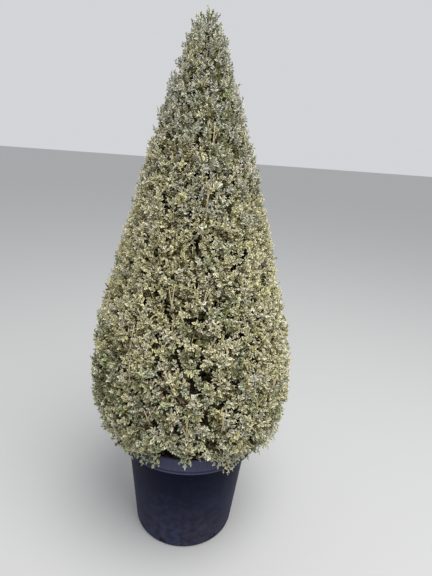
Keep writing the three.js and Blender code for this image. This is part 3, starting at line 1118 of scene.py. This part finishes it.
def makeInnerLeaves():
    template = makeLeafTemplate(leafShape["plain"], [0] * len(leafShape["plain"]))
    materials = [
        plainMaterial("innerLeafShade", 0.6, inside["shade"]),
        plainMaterial("innerLeafDry", 0.8, inside["dry"]),
        plainMaterial("innerLeafPaintedLight", 0.6, inside["light"]),
    ]
    makeLeafPiece("leaves_inside", innerLeaves(), leafTree(materials, 1), template)
    bpy.data.objects.remove(template)


def makeLeaves():
    middle, margin = leafShape["middle"], leafShape["margin"]
    template = makeLeafTemplate(middle + margin, [0] * len(middle) + [1] * len(margin))
    materials = []
    for name, (marginColour, middleColour) in tints.items():
        for part, colour in (("Middle", middleColour), ("Margin", marginColour)):
            label = "leaf" + name.capitalize() + part
            materials.append(plainMaterial(label, leafShape["roughness"], colour, **leafShape["gloss"]))
    tree = leafTree(materials, 2)
    table = fittingLeaves()
    order = np.argsort(table[0][:, 2], kind="stable")
    for part, rows in zip(("foot", "low", "middle", "top"), np.array_split(order, 4)):
        makeLeafPiece("leaves_" + part, [column[rows] for column in table], tree, template)
    bpy.data.objects.remove(template)


makeInnerLeaves()
makeLeaves()


# The short fluted stem

stem = {
    "foot": 0.4023,
    "top": 0.486,
    "topRadius": 0.021,
    "flareRadius": 0.037,
    "lobes": 5,
    "lobeDepth": 0.12,
    "coarse": (0.022, 17),  # depth and count of the furrows
    "fine": (0.014, 31),
    "sides": 96,
    "rings": 40,
}


def makeStem():
    rings, sides = stem["rings"], stem["sides"]
    share = np.linspace(0, 1, rings + 1)[:, None]
    angle = (np.arange(sides) / sides * 2 * math.pi)[None]
    flare = (1 - share) ** 3
    radius = stem["topRadius"] + (stem["flareRadius"] - stem["topRadius"]) * flare
    depth = stem["lobeDepth"] * (0.4 + flare)
    (coarse, coarseCount), (fine, fineCount) = stem["coarse"], stem["fine"]
    furrows = coarse * np.sin(coarseCount * angle + 3 * np.sin(5 * share + 2 * angle))
    furrows = furrows + fine * np.sin(fineCount * angle + 9 * share)
    lobes = 0.85 * depth * np.cos(stem["lobes"] * angle + share)
    reach = radius * (1 - depth * 0.15 + lobes + furrows - 0.03)
    leanAcross, leanDeep = crown["stemLean"]
    across = leanAcross * share + reach * np.cos(angle)
    deep = leanDeep * share + reach * np.sin(angle)
    height = stem["foot"] + (stem["top"] - stem["foot"]) * share + 0 * angle
    corners = np.stack([across, deep, height], axis=-1).reshape(-1, 3)
    last = rings * sides
    caps = [tuple(range(sides - 1, -1, -1)), tuple(range(last, last + sides))]
    mesh = bpy.data.meshes.new("stem")
    mesh.from_pydata(corners.tolist(), [], ringFaces(rings + 1, sides) + caps)
    mesh.shade_smooth()
    mesh.materials.append(limbMaterial("stemBark", bark["stem"], bark["stemDark"]))
    piece = addObject("stem", mesh)
    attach(piece, "root")
    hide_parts("short_stem")


makeStem()


# The nursery pot: a thin wall with a rolled rim, a hanging skirt and drain holes

pot = {
    "sides": 144,
    # radius and height in millimetres, from the underside to the crest of the rim
    "outside": [
        (0, 0), (172, 0), (178.5, 2.2), (181.2, 6), (183.3, 14), (221, 382), (222.6, 387), (225, 393),
        (244, 432), (249.4, 432.2), (257.2, 398.5), (258, 390.3), (258.4, 390), (260.6, 390),
        (261, 390.4), (261, 395.6), (260.5, 396.6), (259.6, 397.8), (258.6, 401), (252.4, 431),
        (251.6, 435), (250.4, 437.1), (248.6, 438),
    ],
    "inside": [
        (245.5, 438), (243, 437), (241, 434.6), (221, 390), (218, 382), (180, 12), (170, 3), (0, 3),
    ],
    "sharpEdge": 38,
    "drainCount": 6,
    "drainRadius": 0.013,
    "drainLength": 0.04,
    "drainPlace": (0.180, 0, 0.016),
    "drainTurn": -110,
    "body": (9, 15, 36),
    # dust colours, also used for the painted highlights of ledge and bead
    "dustAndHighlights": (68, 72, 96),
    "warmDustAndHighlights": (73, 70, 86),
    # painted light: the skirt band's lighter colour
    "paintedLightBand": (83, 85, 108),
    "gloss": {"IOR": 1.15, "Specular IOR Level": 0.3},
    # heights over which each starts, and over which the last three end
    "ledgeHighlight": (0.425, 0.438),
    "skirt": (0.388, 0.393),
    "bead": ((0.3885, 0.3905), (0.3945, 0.3965)),
    "creaseShade": ((0.3955, 0.3970), (0.3995, 0.4015)),
    "ribs": ((0.30, 0.33), (0.37, 0.385)),
    "ribPitch": 620,  # radians for each metre of height
}


def drillMesh():
    drills = bmesh.new()
    radius = pot["drainRadius"]
    for hole in range(pot["drainCount"]):
        turn = Matrix.Rotation(math.radians(pot["drainTurn"] + hole * 360 / pot["drainCount"]), 4, "Z")
        place = turn @ Matrix.Translation(pot["drainPlace"]) @ Matrix.Rotation(math.pi / 2, 4, "Y")
        size = {"radius1": radius, "radius2": radius, "depth": pot["drainLength"]}
        bmesh.ops.create_cone(drills, cap_ends=True, segments=32, matrix=place, **size)
    mesh = bpy.data.meshes.new("drills")
    drills.to_mesh(mesh)
    drills.free()
    return mesh


def potMaterial():
    material, graph, shader = newMaterial("potPlastic", 0.4, linear(*pot["body"]), **pot["gloss"])
    place = objectPlace(graph)
    across = graph.add("ShaderNodeSeparateXYZ", {}, {"Vector": place}, "X")
    height = across.other("Z")
    clouds = graph.noise(place, 7, 4.0, 0.6)
    specks = graph.noise(place, 160, 3.0, 0.7)
    drips = graph.noise(graph.stretched(place, 0.08), 34, 4.0, 0.6)
    # streaks: painted sheen running down the band
    streaks = graph.noise(graph.stretched(place, 0.06), 110, 3.0, 0.6)
    scratch = graph.noise(graph.stretched(place, 14.0), 40, 2.0)
    mottle = graph.spread(graph.noise(place, 38, 4.0, 0.65), 0.35, 0.65)
    # lighter towards the bottom
    low = 1 - graph.spread(height + clouds * 0.08, -0.02, 0.40)
    # painted highlight along the rim's upper edge
    ledgeHighlight = graph.spread(height, *pot["ledgeHighlight"])
    # painted highlight along the bead
    bead = graph.stripe(height, *pot["bead"])
    speckle = graph.spread(specks, 0.56, 0.70) * (0.12 + 0.35 * low)
    # dust specks, drips and mottling, lighter towards the bottom, plus the painted highlights of ledge and
    # bead
    dustAndHighlights = low * (0.30 + 0.40 * drips + 0.45 * mottle) + ledgeHighlight * 0.4 * clouds + bead * 0.4 + speckle
    rimShadedLeft = 0.25 + 0.75 * graph.spread(across + clouds * 0.05, -0.18, -0.06)  # painted shade: the band is painted darker on the left, lighter to the right
    # painted shade in the crease just above the bead
    creaseShade = graph.stripe(height, *pot["creaseShade"])
    # painted light: the upturned skirt band is painted lighter, as if it caught the sky
    paintedLightMask = graph.spread(height, *pot["skirt"]) * rimShadedLeft * (0.66 + 0.42 * streaks - 0.45 * creaseShade)
    plain = graph.mix(paintedLightMask, linear(*pot["body"]), linear(*pot["paintedLightBand"]))
    dustAndHighlightColour = graph.mix(graph.spread(clouds, 0.40, 0.62), linear(*pot["dustAndHighlights"]), linear(*pot["warmDustAndHighlights"]))
    colour = graph.mix(dustAndHighlights * 0.9, plain, dustAndHighlightColour)
    roughness = 0.40 + 0.25 * dustAndHighlights + 0.12 * clouds
    ribs = graph.add("ShaderNodeMath", {"operation": "SINE"}, {0: height * pot["ribPitch"]})
    ribs = ribs * graph.stripe(height, *pot["ribs"])
    relief = ribs * 0.4 + scratch * 0.25 + specks * 0.3 + clouds * 1.5
    finishSurface(graph, shader, colour, roughness, relief, 0.0006, 0.5)
    return material


def makePot():
    sides = pot["sides"]
    wall = bmesh.new()
    rings = []
    for radius, height in pot["outside"] + pot["inside"]:
        corners = ringCorners(radius / 1000, height / 1000, sides if radius else 1)
        rings.append([wall.verts.new(corner) for corner in corners])
    for below, above in zip(rings, rings[1:]):
        for side in range(sides):
            beside = (side + 1) % sides
            if len(below) == 1:
                wall.faces.new((below[0], above[beside], above[side]))
            elif len(above) == 1:
                wall.faces.new((below[side], below[beside], above[0]))
            else:
                wall.faces.new((below[side], below[beside], above[beside], above[side]))
    bmesh.ops.recalc_face_normals(wall, faces=wall.faces)
    mesh = bpy.data.meshes.new("pot")
    wall.to_mesh(mesh)
    wall.free()
    piece = addObject("pot", mesh)
    drills = addObject("drills", drillMesh())
    cut = piece.modifiers.new("drain", "BOOLEAN")
    cut.object, cut.operation, cut.solver = drills, "DIFFERENCE", "EXACT"
    graph = bpy.context.evaluated_depsgraph_get()
    result = bpy.data.meshes.new_from_object(piece.evaluated_get(graph))
    piece.modifiers.remove(cut)
    piece.data = result
    bpy.data.objects.remove(drills)
    result.shade_smooth()
    result.set_sharp_from_angle(angle=math.radians(pot["sharpEdge"]))
    result.materials.clear()
    result.materials.append(potMaterial())
    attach(piece, "root")
    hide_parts("nursery_pot")


makePot()
print("stem and pot made")


# Bark mix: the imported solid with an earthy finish, and loose chips on top

mix = {
    "earth": (96, 72, 58),
    "darkEarth": (48, 36, 29),
    "chipColours": [(160, 124, 98), (130, 96, 76), (186, 154, 124)],
    "chipDensity": 5200.0,  # chips for each square metre
    "chipLength": 0.016,
    "chipTilt": 0.45,
    "chipScale": ((0.5, 0.5, 0.6), (1.3, 1.2, 1.6)),
    # radius and height of the surface that the chips lie on
    "ground": [(0.040, 0.4035), (0.070, 0.4035), (0.120, 0.4000), (0.170, 0.3965), (0.209, 0.3935)],
    "groundSides": 48,
    "seed": 3,
}


def makeMix():
    material, graph, shader = newMaterial("barkMix", 0.95)
    place = objectPlace(graph)
    crumbs = graph.noise(place, 120, 6.0, 0.7)
    patches = graph.noise(place, 22)
    share = graph.spread(crumbs * 0.7 + patches * 0.3, 0.35, 0.68)
    colour = graph.mix(share, linear(*mix["darkEarth"]), linear(*mix["earth"]))
    finishSurface(graph, shader, colour, 0.85 + 0.12 * crumbs, crumbs, 0.006, 0.9)
    node = frame["nodes"]["potting_mix"]
    node.data.materials.clear()
    node.data.materials.append(material)


def chipTree(materials):
    inputs = {"Chip": "Object", "Density": "Float", "Length": "Float", "Seed": "Int"}
    graph, entry = newTree("barkChips", inputs)
    seed, tilt = entry.other("Seed"), mix["chipTilt"]
    sockets = {"Mesh": entry.other("Geometry"), "Density": entry.other("Density"), "Seed": seed}
    points = graph.add("GeometryNodeDistributePointsOnFaces", {"distribute_method": "RANDOM"}, sockets)
    vector = {"data_type": "FLOAT_VECTOR"}
    sockets = {"Min": (-tilt, -tilt, -3.14), "Max": (tilt, tilt, 3.14), "Seed": seed}
    turn = graph.add("FunctionNodeRandomValue", vector, sockets)
    turn = graph.add("FunctionNodeEulerToRotation", {}, {"Euler": turn})
    smallest, largest = mix["chipScale"]
    sockets = {"Min": smallest, "Max": largest, "Seed": seed + 5}
    size = graph.add("FunctionNodeRandomValue", vector, sockets)
    sockets = {0: size, "Scale": entry.other("Length")}
    scale = graph.add("ShaderNodeVectorMath", {"operation": "SCALE"}, sockets)
    sockets = {"Min_002": 0, "Max_002": len(materials) - 1, "Seed": seed + 9}
    kind = graph.add("FunctionNodeRandomValue", {"data_type": "INT"}, sockets, 2)
    settings = {"data_type": "INT", "domain": "POINT"}
    sockets = {"Geometry": points, "Name": "kind", "Value": kind}
    points = graph.add("GeometryNodeStoreNamedAttribute", settings, sockets)
    pile = graph.instanced(points, entry.other("Chip"), turn, scale)
    return graph.finished(pile, graph.attribute("kind", "INT"), materials)


def chipMesh():  # a flat, uneven lump
    lump = bmesh.new()
    bmesh.ops.create_cube(lump, size=1)
    bmesh.ops.subdivide_edges(lump, edges=lump.edges, cuts=1, use_grid_fill=True)
    for index, corner in enumerate(lump.verts):
        corner.co.x *= 0.95 + 0.3 * math.sin(index * 2.3)
        corner.co.y = corner.co.y * 0.45 + 0.06 * math.sin(index * 1.7)
        corner.co.z = corner.co.z * 0.2 + 0.05 * math.cos(index * 2.9)
    mesh = bpy.data.meshes.new("chip")
    lump.to_mesh(mesh)
    lump.free()
    return mesh


def makeChips():
    template = addObject("chip", chipMesh())
    sides = mix["groundSides"]
    corners = [corner for row in mix["ground"] for corner in ringCorners(*row, sides)]
    faces = [(a, d, c, b) for a, b, c, d in ringFaces(len(mix["ground"]), sides)]  # they face up
    ground = bpy.data.meshes.new("bark_chips")
    ground.from_pydata(corners, [], faces)
    materials = [
        plainMaterial("barkChip" + str(index + 1), 0.9, colour)
        for index, colour in enumerate(mix["chipColours"])
    ]
    values = {
        "Chip": template,
        "Density": mix["chipDensity"],
        "Length": mix["chipLength"],
        "Seed": mix["seed"],
    }
    piece = grown("bark_chips", ground, chipTree(materials), values)
    bpy.data.objects.remove(template)
    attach(piece, "root")


makeMix()
makeChips()
print("bark mix made")
